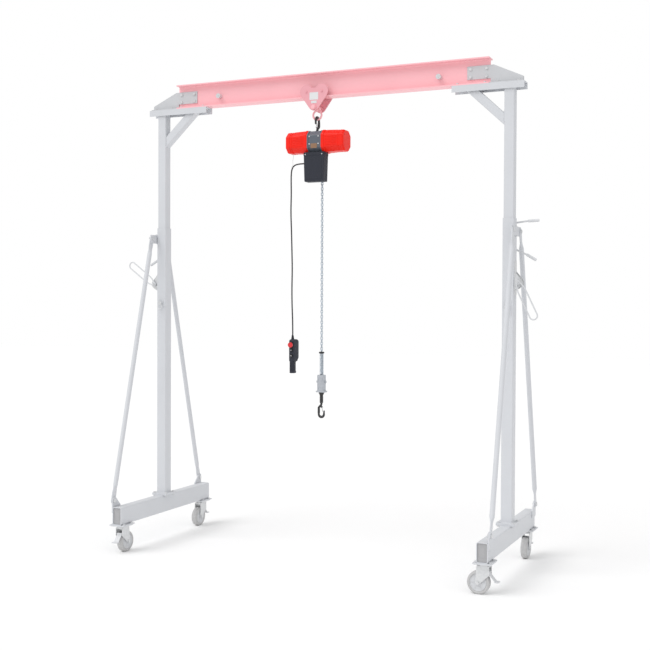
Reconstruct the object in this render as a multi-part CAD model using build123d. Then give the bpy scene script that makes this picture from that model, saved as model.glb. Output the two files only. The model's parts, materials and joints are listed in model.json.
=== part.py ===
# Portable gantry crane with a push trolley and an electric chain hoist.
# Millimetres. X runs along the beam, Y across the legs, Z up. The origin is on the floor
# under the middle of the whole outline, which the raised winch handle makes uneven. Each leg is
# drawn once with x measured outward from its post.
from build123d import *
import os
from math import atan2, cos, degrees, hypot, pi, radians, sin, tan

os.makedirs("parts", exist_ok=True)

# --- overall sizes ---
middle_x = 67.6           # middle of the beam, from the origin
beam_length = 2490.0
post_past_beam = 140.0    # end of the beam to the middle of a post
base_length = 1210.0
lower_post_top = 2420.0
head_bottom = 3290.0
wheel_radius = 75.0
caster_room = 60.0        # top of the wheel to the underside of the base tube

# --- square and rectangular tubes ---
base_width = 76.0
base_height = 130.0
base_wall = 5.0
post_size = 80.0
post_wall = 4.0
slide_gap = 1.0           # between the two posts, on each side
slide_wall = 4.0
slide_bottom = 1550.0
tube_corner = 7.0
head_height = 45.0
head_wall = 6.0
head_inner = 405.0        # reach of the head channel from the post towards the middle
head_outer = 105.0
knee_size = 60.0
knee_wall = 4.0
knee_drop = 202.0
knee_reach = 219.0

# --- beam ---
beam_height = 180.0
beam_width = 90.0
web = 6.0
flange = 9.0
root_radius = 9.0
stop_inset = 365.0        # travel stops, from the end of the beam
stop_radius = 18.0

# --- plates and bolts ---
foot_margin = 25.0        # how far a foot plate stands out past the post
foot_plate = 8.0
foot_flange = 10.0
gusset_plate = 6.0
foot_inset = 3.0          # edge of the head to the edge of a gusset's foot
bolt_radius = 6.0
hole_gap = 0.05
bolt_head = 8.0
bracket_plate = 6.0
bracket_half = 120.0
bracket_drop = 55.0       # top of the lower post to the top of the strut bracket
bracket_height = 65.0

# --- struts ---
strut_radius = 16.85
strut_wall = 2.6
strut_flat = 6.0
strut_flat_width = 46.0
strut_inset = 22.0        # end of the base to a strut's foot pin
strut_rise = 43.0         # top of the base to a strut's foot pin
strut_top_y = 97.0
strut_pin_radius = 8.0

# --- casters ---
caster_inset = 65.0       # end of the base to a caster's swivel axis
caster_trail = 38.0
wheel_width = 46.0
axle_radius = 6.0
fork_plate = 5.0
caster_top = 6.0
caster_weld = 8.0
swivel_gap = 0.5
pedal_x = -28.0
pedal_drop = 10.0         # top of the wheel to the pedal's pivot

# --- clamps, stop pin and winch on each leg ---
clamp_offset = 18.0
clamp_drops = {"upper": 28.0, "lower": 205.0}     # from the top of the lower post
clamp_radius = 8.0
clamp_boss = 14.0
boss_height = 14.0
lever_reach = 169.0
pin_z = 1840.0
pin_radius = 8.0
slot_drop = 20.0          # top of the lower post to the top of the slot
slot_bottom = 1620.0
winch_x = 28.0            # shaft centre, from the post's outer face
winch_z = 1985.0
winch_half = 27.0
shaft_radius = 8.0
drum_radius = 16.0
ratchet_radius = 25.0
handle_length = 275.0
handle_half = 27.0
handle_rod = 5.0

# --- trolley ---
trolley_x = 5.6
trolley_wheel = 32.0
trolley_rim = 38.0
wheel_spacing = 124.0
trolley_plate = 8.0
plate_gap = 7.0           # edge of the flange to a side plate
axle_stub = 8.0
run_gap = 0.3             # wheels and hooks stay this far off what they run on
spindle_drop = 73.0       # beam to spindle
spindle_radius = 12.0
eye_drop = 49.0           # spindle to the middle of the eye
eye_ring = 33.5
eye_section = 7.0

# --- hoist ---
hoist_x = 11.6
hoist_drop = 320.0        # beam to the middle of the hoist
hoist_height = 160.0
hoist_depth = 150.0
gearbox_length = 112.0
cover_length = 176.0
cover_draft = 7.4
box_top_width = 165.0
box_depth = 80.0
box_front = -75.0
box_height = 212.0
chain_x = 37.6
chain_y = 20.0
chain_radius = 10.0
chain_drop = 1620.0       # hoist to the top of the bottom block
block_width = 57.0
block_depth = 46.0
block_height = 127.0
spring_length = 158.0
spring_radius = 16.0
hook_drop = 161.0         # bottom block to the centre of the load hook's bowl
load_bowl = 21.0
load_section = 8.0
top_bowl = 27.0
top_section = 9.0

# --- pendant control ---
pendant_x = -182.4
pendant_y = -15.0
pendant_drop = 1361.0     # hoist to the top of the pendant
pendant_head = 162.0
pendant_grip = 88.0
pendant_front = -35.0
pendant_back = 45.0
pendant_width = 45.0
grip_width = 38.0
cable_radius = 5.0
boot_length = 31.0
gland_length = 14.0

half_span = beam_length / 2 + post_past_beam
stop_x = beam_length / 2 - stop_inset
slide_size = post_size - 2 * post_wall - 2 * slide_gap      # the upper post slides in the lower one
head_width = beam_width
foot_size = post_size + 2 * foot_margin
base_bottom = 2 * wheel_radius + caster_room
base_top = base_bottom + base_height
foot_z = base_top + foot_plate
post_bottom = foot_z + foot_flange
bracket_high = lower_post_top - bracket_drop
bracket_low = bracket_high - bracket_height
strut_foot_y = base_length / 2 - strut_inset
strut_foot_z = base_top + strut_rise
strut_top_z = (bracket_low + bracket_high) / 2 + 2.5
caster_y = base_length / 2 - caster_inset
pedal_z = 2 * wheel_radius - pedal_drop
clamp_heights = {name: lower_post_top - drop for name, drop in clamp_drops.items()}
slot_top = lower_post_top - slot_drop
head_top = head_bottom + head_height
beam_bottom = head_top
beam_mid = beam_bottom + beam_height / 2
stop_z = beam_bottom + 75
trolley_gap = beam_width / 2 + plate_gap
spindle_z = beam_bottom - spindle_drop
eye_z = spindle_z - eye_drop
hoist_z = beam_bottom - hoist_drop
beam_end = beam_length / 2 - half_span      # end of the beam, in a leg's own x
strut_face = post_size / 2 + bracket_plate
strut_x = strut_face + strut_flat / 2
lug_plate = strut_face - base_width / 2     # brings the lug level with the bracket on the post
gusset_foot = head_width / 2 - web / 2 - gusset_plate - foot_inset
hoist_top = hoist_z + hoist_height / 2
hoist_bottom = hoist_z - hoist_height / 2
block_top = hoist_bottom - chain_drop
hook_z = block_top - block_height - hook_drop
pendant_top = hoist_bottom - pendant_drop
pendant_low = pendant_top - pendant_head
pendant_foot = pendant_low - pendant_grip


axis_turns = {"x": Rot(0, 90, 0), "y": Rot(90, 0, 0), "z": Rot(0, 0, 0)}


def rod(radius, length, at, axis="z"):
    return Pos(*at) * axis_turns[axis] * Cylinder(radius, length)


def block(low, high):
    size = [high[i] - low[i] for i in range(3)]
    middle = [(high[i] + low[i]) / 2 for i in range(3)]
    return Pos(*middle) * Box(*size)


def plate(points, plane, start, thickness):
    # a flat plate from its outline: plane "xz" grows along +Y and "yz" along +X
    outline = make_face(Polyline(*points, close=True))
    if plane == "xz":
        face = Plane((0, start, 0), x_dir=(1, 0, 0), z_dir=(0, -1, 0)) * outline
        return extrude(face, -thickness)
    face = Plane((start, 0, 0), x_dir=(0, 1, 0), z_dir=(1, 0, 0)) * outline
    return extrude(face, thickness)


def strip(start, end, thickness):
    # the four corners of a straight strip from start to end
    run = (end[0] - start[0], end[1] - start[1])
    side = (-run[1] / hypot(*run) * thickness / 2, run[0] / hypot(*run) * thickness / 2)
    one = [(x + side[0], z + side[1]) for x, z in (start, end)]
    other = [(x - side[0], z - side[1]) for x, z in (end, start)]
    return one + other


def tube(width, depth, length, wall, corner=tube_corner):
    inner = RectangleRounded(width - 2 * wall, depth - 2 * wall, corner - wall / 2)
    return extrude(RectangleRounded(width, depth, corner) - inner, length)


def hexagon(size, length, at, axis="z"):
    return Pos(*at) * axis_turns[axis] * extrude(RegularPolygon(size, 6), length / 2, both=True)


def bolt(radius, low, high, at, axis, head=bolt_head):
    # a hexagon bolt and nut that grips what lies between low and high along its axis
    def place(along):
        point = list(at)
        point.insert("xyz".index(axis), along)
        return point

    body = rod(radius, high - low, place((low + high) / 2), axis)
    body += hexagon(radius * 1.75, head, place(low - head / 2), axis)
    body += hexagon(radius * 1.75, head, place(high + head / 2), axis)
    return body


def outward(side, shape):
    # a leg's own drawing put on the left (side -1) or the right (side 1)
    if side < 0:
        shape = shape.mirror(Plane.YZ)
    return Pos(middle_x + side * half_span, 0, 0) * shape


def save(name, solids):
    group = solids if isinstance(solids, list) else [solids]
    group = [piece for shape in group for piece in shape.solids()]
    export_step(group[0] if len(group) == 1 else Compound(children=group), f"parts/{name}.step")
    print(name, len(group), "solid" if len(group) == 1 else "solids")


# --- bridge: beam, heads, knees and upper posts ---
gusset_bolts = [(x, z) for x in (-280.0, -166.0) for z in (beam_bottom + 55, beam_bottom + 109)]
foot_bolt_y = head_width / 2 - 19
foot_bolts = [(x, y) for x in (-85.0, 60.0) for y in (-foot_bolt_y, foot_bolt_y)]
seat_bolt_y = head_width / 2 - head_wall - 11      # the nuts clear the channel's sides
seat_bolts = [(x, y) for x in (-368.0, -172.0) for y in (-seat_bolt_y, seat_bolt_y)]


def make_beam():
    profile = Rectangle(beam_width, beam_height)
    side = (beam_width - web) / 2
    for way in (-1, 1):
        middle = way * (web / 2 + side)
        profile -= Pos(middle, 0) * RectangleRounded(2 * side, beam_height - 2 * flange, root_radius)
    place = Plane((middle_x, 0, beam_mid), x_dir=(0, 1, 0), z_dir=(1, 0, 0))
    body = place * extrude(profile, beam_length / 2, both=True)
    for side in (-1, 1):
        for x, z in gusset_bolts:
            body -= rod(bolt_radius, beam_width, (middle_x + side * (half_span + x), 0, z), "y")
        for x, y in seat_bolts:
            body -= rod(bolt_radius, 4 * flange, (middle_x + side * (half_span + x), y, beam_bottom), "z")
        body -= rod(bolt_radius, beam_width, (middle_x + side * stop_x, 0, stop_z), "y")
    return body


def make_upper_frame():
    channel = block((-head_inner, -head_width / 2, head_bottom), (head_outer, head_width / 2, head_top))
    inside = head_width / 2 - head_wall
    channel -= block((-head_inner - 1, -inside, head_bottom - 1), (head_outer + 1, inside, head_top - head_wall))
    for x, y in foot_bolts + seat_bolts:
        channel -= rod(bolt_radius, 4 * head_wall, (x, y, head_top), "z")
    post = Pos(0, 0, slide_bottom) * tube(slide_size, slide_size, head_top - head_wall - slide_bottom, slide_wall)
    slot_middle = (slot_top + slot_bottom) / 2
    slot_width = 2 * pin_radius + 1
    slot = SlotOverall(slot_top - slot_bottom, slot_width)
    slot = Plane((0, 0, slot_middle), x_dir=(0, 0, 1), z_dir=(0, 1, 0)) * slot
    post -= extrude(slot, slide_size, both=True)
    run = hypot(knee_reach, knee_drop)
    lean = degrees(atan2(knee_reach, knee_drop))
    knee = Pos(-slide_size / 2, 0, head_bottom - knee_drop) * Rot(0, -lean, 0) * Pos(0, 0, -run)
    knee = knee * tube(knee_size, knee_size, 3 * run, knee_wall)
    knee &= block((-1000, -knee_size, 0), (-slide_size / 2, knee_size, head_top - head_wall))
    return channel + post + knee


def make_gusset(way):
    low = beam_bottom + 39
    high = beam_bottom + 130
    points = [(-304, low), (-304, high), (-115, high), (90, head_top + 37), (90, head_top)]
    points += [(beam_end + 2, head_top), (beam_end + 2, low)]
    start = web / 2 if way > 0 else -web / 2 - gusset_plate
    body = plate(points, "xz", start, gusset_plate)
    near = web / 2 + gusset_plate
    edges = sorted((way * near, way * (near + gusset_foot)))
    body += block((beam_end + 2, edges[0], head_top), (90, edges[1], head_top + gusset_plate))
    for x, z in gusset_bolts:
        body -= rod(bolt_radius, beam_width, (x, 0, z), "y")
    for x, y in foot_bolts:
        body -= rod(bolt_radius, 4 * gusset_plate, (x, y, head_top), "z")
    return body


def make_bridge():
    save("beam", make_beam())
    gussets = []
    bolts = []
    for side, name in ((-1, "left"), (1, "right")):
        save(name + "_upper_frame", outward(side, make_upper_frame()))
        gussets += [outward(side, make_gusset(way)) for way in (-1, 1)]
        grip = web / 2 + gusset_plate
        bolts += [outward(side, bolt(bolt_radius, -grip, grip, place, "y")) for place in gusset_bolts]
        for place in foot_bolts:
            piece = bolt(bolt_radius, head_top - head_wall, head_top + gusset_plate, place, "z")
            bolts.append(outward(side, piece))
        for place in seat_bolts:
            piece = bolt(bolt_radius, head_top - head_wall, head_top + flange, place, "z")
            bolts.append(outward(side, piece))
        at = middle_x + side * stop_x
        stop = rod(bolt_radius, beam_width - 10, (at, 0, stop_z), "y")
        for way in (-1, 1):
            stop += rod(stop_radius, 34, (at, way * (web / 2 + 17), stop_z), "y")
        bolts.append(stop)
    save("gussets", gussets)
    save("bridge_bolts", bolts)


# --- legs ---
foot_bolt = foot_size / 2 - 13
foot_corners = [(x, y) for x in (-foot_bolt, foot_bolt) for y in (-foot_bolt, foot_bolt)]
caster_corners = [(x, y) for x in (-48.0, 48.0) for y in (-44.0, 44.0)]


def make_base():
    body = Pos(0, -base_length / 2, base_bottom + base_height / 2) * Rot(-90, 0, 0)
    body = body * tube(base_width, base_height, base_length, base_wall, 10.0)
    half = foot_size / 2
    body += block((-half, -half, base_top), (half, half, foot_z))
    for x, y in foot_corners:
        body -= rod(bolt_radius, 4 * foot_plate, (x, y, base_top), "z")
    for way in (-1, 1):
        low = (-62, way * caster_y - 70, base_bottom - caster_weld)
        body += block(low, (62, way * caster_y + 70, base_bottom))
        for x, y in caster_corners:
            body -= rod(bolt_radius, 4 * caster_weld, (x, way * caster_y + y, base_bottom - 9), "z")
        end = base_length / 2 - 2
        points = [(end, base_top - 45), (end, strut_foot_z + 25), (end - 40, strut_foot_z + 25)]
        points += [(end - 95, base_top + 5), (end - 95, base_top - 45)]
        lug = plate([(way * y, z) for y, z in points], "yz", base_width / 2, lug_plate)
        body += lug - rod(strut_pin_radius, 60, (base_width / 2, way * strut_foot_y, strut_foot_z), "x")
    return body


def make_post():
    half = foot_size / 2
    bore = post_size / 2 - post_wall
    body = block((-half, -half, foot_z), (half, half, post_bottom))
    body -= block((-bore, -bore, foot_z - 1), (bore, bore, post_bottom + 1))
    for x, y in foot_corners:
        body -= rod(bolt_radius, 4 * foot_flange, (x, y, post_bottom), "z")
    body += Pos(0, 0, post_bottom) * tube(post_size, post_size, lower_post_top - post_bottom, post_wall)
    face = post_size / 2
    ear = block((face, -bracket_half, bracket_low), (face + bracket_plate, bracket_half, bracket_high))
    for way in (-1, 1):
        ear -= rod(strut_pin_radius, 60, (post_size / 2, way * strut_top_y, strut_top_z), "x")
    body += ear
    for z in clamp_heights.values():
        body += rod(clamp_boss, boss_height, (clamp_offset, face + boss_height / 2, z), "y")
        body -= rod(clamp_radius + hole_gap, 40, (clamp_offset, post_size / 2, z), "y")
    body -= rod(pin_radius + hole_gap, 2 * post_size, (0, 0, pin_z), "y")
    return body


def make_strut(way):
    foot = Vector(strut_x, way * strut_foot_y, strut_foot_z)
    top = Vector(strut_x, way * strut_top_y, strut_top_z)
    line = top - foot
    frame = Plane(foot, x_dir=(1, 0, 0), z_dir=line)
    length = line.length
    flat_end = 60.0
    round_end = 120.0
    body = Pos(0, 0, length / 2) * Cylinder(strut_radius, length - 2 * round_end)
    body -= Pos(0, 0, length / 2) * Cylinder(strut_radius - strut_wall, length - 2 * round_end)
    for start, way_up in ((0.0, 1), (length, -1)):
        narrow = Plane((0, 0, start + way_up * flat_end)) * Rectangle(strut_flat, strut_flat_width)
        wide = Plane((0, 0, start + way_up * round_end)) * Circle(strut_radius)
        body += loft([narrow, wide])
        blade = Pos(0, 0, start + way_up * flat_end / 2) * Box(strut_flat, strut_flat_width, flat_end)
        blade += rod(strut_flat_width / 2, strut_flat, (0, 0, start), "x")
        body += blade - rod(strut_pin_radius, 60, (0, 0, start), "x")
    return frame * body


def make_fixings():
    pieces = [bolt(bolt_radius, base_top, post_bottom, place, "z") for place in foot_corners]
    outer = strut_x + strut_flat / 2
    for way in (-1, 1):
        foot = (way * strut_foot_y, strut_foot_z)
        pieces.append(bolt(strut_pin_radius, base_width / 2, outer, foot, "x"))
        top = (way * strut_top_y, strut_top_z)
        pieces.append(bolt(strut_pin_radius, post_size / 2, outer, top, "x"))
        high = base_bottom - caster_weld
        top_plate = block((-56, way * caster_y - 56, high - caster_top), (56, way * caster_y + 56, high))
        for x, y in caster_corners:
            top_plate += rod(bolt_radius, caster_weld + caster_top, (x, way * caster_y + y, high + 1), "z")
            top_plate += hexagon(bolt_radius * 1.75, 7, (x, way * caster_y + y, base_bottom + 3.5), "z")
        pieces.append(top_plate)
    return pieces


def make_winch_frame():
    face = post_size / 2
    body = block((face, -winch_half - 3, winch_z - 85), (face + 3, winch_half + 3, winch_z + 145))
    for way in (-1, 1):
        low = winch_half if way > 0 else -winch_half - 3
        points = [(face + 3, winch_z - 50), (face + winch_x, winch_z - 38), (face + winch_x + 26, winch_z - 12)]
        points += [(face + winch_x + 26, winch_z + 14), (face + winch_x, winch_z + 45), (face + 3, winch_z + 75)]
        cheek = plate(points, "xz", low, 3)
        body += cheek - rod(shaft_radius + hole_gap, 200, (face + winch_x, 0, winch_z), "y")
    return body


def make_drum():
    x = post_size / 2 + winch_x
    body = rod(shaft_radius, 2 * winch_half + 44, (x, -6, winch_z), "y")
    body += rod(drum_radius, 2 * winch_half - 10, (x, 0, winch_z), "y")
    wheel = rod(ratchet_radius, 5, (x, winch_half - 5, winch_z), "y")
    for step in range(12):
        turn = radians(30 * step)
        tooth = (x + ratchet_radius * cos(turn), winch_half - 5, winch_z + ratchet_radius * sin(turn))
        wheel -= rod(3.2, 20, tooth, "y")
    return body + wheel


def make_handle(lift):
    near = handle_half - 13
    points = [(8, -near), (60, -handle_half), (handle_length, -handle_half)]
    points += [(handle_length, handle_half), (60, handle_half), (8, near)]
    path = FilletPolyline(*[(x, 0, z) for x, z in points], radius=[18, handle_half - 1, handle_half - 1, 18])
    section = Plane(origin=path @ 0, z_dir=path % 0) * Circle(handle_rod)
    loop = sweep(section, path=path)
    loop += rod(17, 12, (0, 0, 0), "y")
    loop -= rod(shaft_radius + hole_gap, 40, (0, 0, 0), "y")
    at = Pos(post_size / 2 + winch_x, -winch_half - 12, winch_z)
    return at * Rot(0, -lift, 0) * loop


def make_lever(height, lift):
    body = rod(13, 18, (0, 0, 0), "y")
    crank = (lever_reach * 0.55, 0, -5)
    arm = Vector(*crank)
    body += Plane(origin=(0, 0, 0), z_dir=arm) * Pos(0, 0, arm.length / 2) * Cylinder(6, arm.length)
    reach = Vector(lever_reach, 0, -16) - arm
    grip = Cylinder(10, reach.length)
    grip = fillet(grip.edges().filter_by(GeomType.CIRCLE), 4)
    body += Plane(origin=arm, z_dir=reach) * Pos(0, 0, reach.length / 2) * grip
    middle = post_size / 2 + 25
    tip = slide_size / 2 + 0.4
    turned = Rot(0, -lift, 0) * body
    screw = rod(clamp_radius, middle - tip, (0, -(middle - tip) / 2, 0), "y")
    return Pos(clamp_offset, middle, height) * (turned + screw)


def make_stop_pin():
    half = post_size / 2 + 18
    body = rod(pin_radius, 2 * half, (0, 0, pin_z), "y")
    body += rod(14, 8, (0, -half - 4, pin_z), "y")
    ring = Pos(0, -half - 4, pin_z - 30) * Rot(90, 0, 0) * Torus(18, 3)
    return body + ring


rest_lifts = {
    "left": {"handle": 36.0, "upper": -8.0, "lower": -22.0},
    "right": {"handle": -64.0, "upper": 10.0, "lower": -22.0},
}


def make_legs():
    for side, name in ((-1, "left"), (1, "right")):
        lifts = rest_lifts[name]
        save(name + "_base", outward(side, make_base()))
        save(name + "_lower_post", outward(side, make_post()))
        save(name + "_struts", [outward(side, make_strut(way)) for way in (-1, 1)])
        save(name + "_fixings", [outward(side, piece) for piece in make_fixings()])
        save(name + "_winch_frame", outward(side, make_winch_frame()))
        save(name + "_winch_drum", outward(side, make_drum()))
        save(name + "_winch_handle", outward(side, make_handle(lifts["handle"])))
        for which, height in clamp_heights.items():
            save(f"{name}_{which}_clamp_lever", outward(side, make_lever(height, lifts[which])))
        save(name + "_stop_pin", outward(side, make_stop_pin()))


# --- casters: drawn with the swivel axis at the origin and the wheel trailing along +x ---
def make_wheel():
    body = fillet(Cylinder(wheel_radius, wheel_width).edges(), 9)
    for way in (-1, 1):
        dish = Cylinder(wheel_radius - 20, 9) - Cylinder(20, 9)
        body -= Pos(0, 0, way * wheel_width / 2) * dish
    body += Cylinder(20, wheel_width + 2)
    body -= Cylinder(axle_radius + hole_gap, 2 * wheel_width)
    return Pos(caster_trail, 0, wheel_radius) * Rot(90, 0, 0) * body


def make_fork():
    top = base_bottom - caster_weld - caster_top - swivel_gap
    crown = top - 18
    half = wheel_width / 2 + 2
    body = rod(38, 12, (0, 0, top - 6))
    body += block((-36, -half - fork_plate, crown), (46, half + fork_plate, crown + 7))
    for way in (-1, 1):
        low = half if way > 0 else -half - fork_plate
        points = [(-36, crown + 7), (46, crown + 7), (caster_trail + 17, wheel_radius)]
        points += [(caster_trail, wheel_radius - 16), (caster_trail - 17, wheel_radius)]
        points.append((pedal_x - 10, pedal_z - 12))
        body += plate(points, "xz", low, fork_plate)
        low = half + fork_plate
        nut = (caster_trail, way * (low + 4), wheel_radius)
        body += hexagon(11, 8, nut, "y")
    body += rod(axle_radius, 2 * half + 4, (caster_trail, 0, wheel_radius), "y")
    body += rod(4, 2 * half + 4, (pedal_x, 0, pedal_z), "y")
    return body


def make_pedal():
    half = wheel_width / 2
    body = rod(8, 2 * half - 2, (pedal_x, 0, pedal_z), "y")
    run = (-46.0, -54.0)
    tread = (pedal_x + run[0], pedal_z + run[1])
    body += plate(strip((pedal_x, pedal_z), tread, 5.0), "xz", -half + 3, 2 * half - 6)
    body += block((tread[0] - 22, -half, tread[1] - 3), (tread[0] + 4, half, tread[1] + 3))
    body -= rod(4 + hole_gap, 2 * wheel_width, (pedal_x, 0, pedal_z), "y")
    return body


caster_turns = {"left_front": 90.0, "left_back": -90.0, "right_front": 180.0, "right_back": -90.0}


def make_casters():
    for name, turn in caster_turns.items():
        x = middle_x + (-half_span if name.startswith("left") else half_span)
        y = -caster_y if name.endswith("front") else caster_y
        place = Pos(x, y, 0) * Rot(0, 0, turn)
        save(name + "_fork", place * make_fork())
        save(name + "_wheel", place * make_wheel())
        save(name + "_brake", place * make_pedal())


# --- trolley ---
trolley_axle_z = beam_bottom + flange + trolley_wheel + run_gap


def make_side_plate(way):
    upper = trolley_axle_z
    outline = Pos(-wheel_spacing / 2, upper) * Circle(50) + Pos(wheel_spacing / 2, upper) * Circle(50)
    outline += Pos(0, spindle_z + 20) * Circle(44)
    corners = [(-104, upper - 27), (-58, upper + 26), (58, upper + 26), (104, upper - 27)]
    corners += [(37, spindle_z - 4), (-37, spindle_z - 4)]
    outline += make_face(Polyline(*corners, close=True))
    start = trolley_gap if way > 0 else -trolley_gap - trolley_plate
    body = Plane((trolley_x, start, 0), x_dir=(1, 0, 0), z_dir=(0, -1, 0)) * outline
    body = extrude(body, -trolley_plate)
    body -= rod(spindle_radius, 300, (trolley_x, 0, spindle_z), "y")
    for end in (-1, 1):
        x = trolley_x + end * wheel_spacing / 2
        inner = 20.0
        outer = trolley_gap + trolley_plate + 6
        body += rod(axle_stub, outer - inner, (x, way * (inner + outer) / 2, upper), "y")
    return body


def make_trolley_wheel(end, way):
    tread = beam_width / 2 + 1.2
    body = rod(trolley_wheel, tread - 22, (0, (tread + 22) / 2, 0), "y")
    body += rod(trolley_rim, 4, (0, tread + 2, 0), "y")
    body -= rod(axle_stub + hole_gap, 200, (0, 0, 0), "y")
    if way < 0:
        body = body.mirror(Plane.XZ)
    return Pos(trolley_x + end * wheel_spacing / 2, 0, trolley_axle_z) * body


def make_eye():
    outer = trolley_gap + trolley_plate
    body = rod(spindle_radius, 2 * outer + 30, (trolley_x, 0, spindle_z), "y")
    body += rod(21, 34, (trolley_x, 0, spindle_z), "y")
    for way in (-1, 1):
        body += hexagon(19, 12, (trolley_x, way * (outer + 6), spindle_z), "y")
        body += rod(18, 10, (trolley_x, way * (trolley_gap - 5), spindle_z), "y")
    body += Pos(trolley_x, 0, eye_z) * Rot(90, 0, 0) * Torus(eye_ring, eye_section)
    return body


def make_trolley():
    save("trolley_plates", [make_side_plate(way) for way in (-1, 1)])
    save("trolley_eye", make_eye())
    for end, along in ((-1, "left"), (1, "right")):
        for way, across in ((-1, "front"), (1, "back")):
            save(f"trolley_wheel_{along}_{across}", make_trolley_wheel(end, way))


# --- hooks: drawn in the xz plane with the bowl's centre at the origin and the shank up ---
def make_hook(bowl, section, shank, neck, tip):
    points = [(0, shank), (0, neck), (-bowl, neck - 24), (-bowl, -bowl), (bowl, -bowl), (bowl, tip)]
    path = FilletPolyline(*[(x, 0, z) for x, z in points], radius=[12, 12, bowl - 0.5, bowl - 0.5])
    body = sweep(Plane(origin=(0, 0, shank), z_dir=(0, 0, -1)) * Circle(section), path=path)
    body += Pos(bowl, 0, tip) * Sphere(section)
    pivot = (4.0, neck - 19)
    for way in (-1, 1):
        body += Pos(pivot[0] - 6, way * 6.8, pivot[1] + 4) * Rot(0, 38, 0) * Box(24, 3, 9)
        body += rod(4.5, 3, (pivot[0], way * 6.8, pivot[1]), "y")
    body += rod(2, 14, (pivot[0], 0, pivot[1]), "y")
    return body


def make_latch(bowl, section, neck, tip):
    pivot = (4.0, neck - 19)
    end = (bowl - section - 2.6, tip - 2)
    body = plate(strip(pivot, end, 3.2), "xz", -5, 10)
    body += rod(4.2, 10, (pivot[0], 0, pivot[1]), "y")
    return body - rod(2 + hole_gap, 40, (pivot[0], 0, pivot[1]), "y")


# --- hoist ---
def hoist_outline(height, depth):
    cut = 34.0
    points = [(-depth / 2, -height / 2 + cut), (-depth / 2, height / 2 - cut), (-depth / 2 + cut, height / 2)]
    points += [(depth / 2 - cut, height / 2), (depth / 2, height / 2 - cut), (depth / 2, -height / 2 + cut)]
    points += [(depth / 2 - cut, -height / 2), (-depth / 2 + cut, -height / 2)]
    outline = make_face(Polyline(*points, close=True))
    return fillet(outline.vertices(), 12)


def make_cover(way):
    near = hoist_outline(hoist_height, hoist_depth)
    far = hoist_outline(hoist_height - 2 * cover_draft, hoist_depth - 2 * cover_draft)
    body = loft([near, Pos(0, 0, cover_length) * far])
    body = fillet(body.faces().sort_by(Axis.Z)[-1].edges(), 7)
    turn = Plane((hoist_x + way * gearbox_length / 2, 0, hoist_z), x_dir=(0, 1, 0), z_dir=(1, 0, 0))
    if way < 0:
        turn = Plane((hoist_x + way * gearbox_length / 2, 0, hoist_z), x_dir=(0, -1, 0), z_dir=(-1, 0, 0))
    body = turn * body
    if way < 0:
        body -= rod(9, 20, (gland_x, gland_y, hoist_bottom), "z")
    return body


def make_gearbox():
    outline = hoist_outline(hoist_height - 6, hoist_depth - 6)
    place = Plane((hoist_x, 0, hoist_z), x_dir=(0, 1, 0), z_dir=(1, 0, 0))
    body = place * extrude(outline, gearbox_length / 2, both=True)
    ridge = hoist_outline(hoist_height, hoist_depth)
    for way in (-1, 1):
        body += place * Pos(0, 0, way * (gearbox_length / 2 - 5)) * extrude(ridge, 5, both=True)
    body += rod(22, 30, (trolley_x, 0, hoist_top - 15), "z")
    low = (chain_x - 22, chain_y - 16, hoist_bottom - 8)
    body += block(low, (chain_x + 22, chain_y + 16, hoist_bottom + 20))
    body -= rod(chain_radius + 1, 60, (chain_x, chain_y, hoist_bottom - 10), "z")
    return body


def make_chain_box():
    middle = box_front + box_depth / 2
    top = Plane((hoist_x, middle, hoist_bottom)) * RectangleRounded(box_top_width, box_depth, 8)
    body = extrude(top, -box_height, taper=1.6)
    body = fillet(body.faces().sort_by(Axis.Z)[0].edges(), 6)
    low = (chain_x - 24, chain_y - 18, hoist_bottom - 12)
    return body - block(low, (chain_x + 24, chain_y + 30, hoist_bottom + 1))


# --- bottom block and load hook ---
def make_block():
    low = block_top - block_height
    shape = extrude(RectangleRounded(block_width, block_depth, 12), block_height - 10)
    body = Pos(chain_x, chain_y, low + 10) * shape
    body += Pos(chain_x, chain_y, low) * extrude(RectangleRounded(75, 52, 10), 10)
    body -= rod(chain_radius + 1.5, 40, (chain_x, chain_y, block_top - 10), "z")
    for way in (-1, 1):
        body += hexagon(9, 10, (chain_x + way * (block_width / 2 + 4), chain_y, block_top - 50), "x")
    return body


def make_spring():
    body = rod(spring_radius, spring_length, (0, 0, spring_length / 2))
    body += rod(20, 12, (0, 0, spring_length + 6))
    body -= rod(chain_radius + 1, 3 * spring_length, (0, 0, 0))
    return Pos(chain_x, chain_y, block_top) * body


load_shank = block_top - block_height - hook_z - run_gap
load_hook = {"bowl": load_bowl, "section": load_section, "neck": 71.0, "tip": 20.0}
top_hook = {"bowl": top_bowl, "section": top_section, "neck": 62.0, "tip": 18.0}
top_bowl_z = eye_z - eye_ring + eye_section - (top_bowl - top_section) + run_gap


def make_lift():
    at = Pos(chain_x, chain_y, hook_z)
    hook = make_hook(shank=load_shank, **load_hook)
    hook += rod(14, 34, (0, 0, load_shank - 17))
    hook += rod(20, 10, (0, 0, load_shank - 5))
    save("load_hook", at * hook)
    save("load_latch", at * make_latch(**load_hook))
    save("bottom_block", make_block())
    save("limit_spring", make_spring())
    chain_low = block_top - 28
    middle = (hoist_bottom + chain_low) / 2
    save("load_chain", rod(chain_radius, hoist_bottom - chain_low, (chain_x, chain_y, middle)))


def make_hoist():
    save("hoist_gearbox", make_gearbox())
    save("hoist_left_cover", make_cover(-1))
    save("hoist_right_cover", make_cover(1))
    save("chain_box", make_chain_box())
    at = Pos(trolley_x, 0, top_bowl_z) * Rot(0, 0, 90) * Rot(0, 180, 0)
    save("top_hook", at * make_hook(shank=top_bowl_z - hoist_top, **top_hook))
    save("top_latch", at * make_latch(**top_hook))


# --- pendant and its cable ---
gland_x = -67.4
gland_y = 32.0
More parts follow.
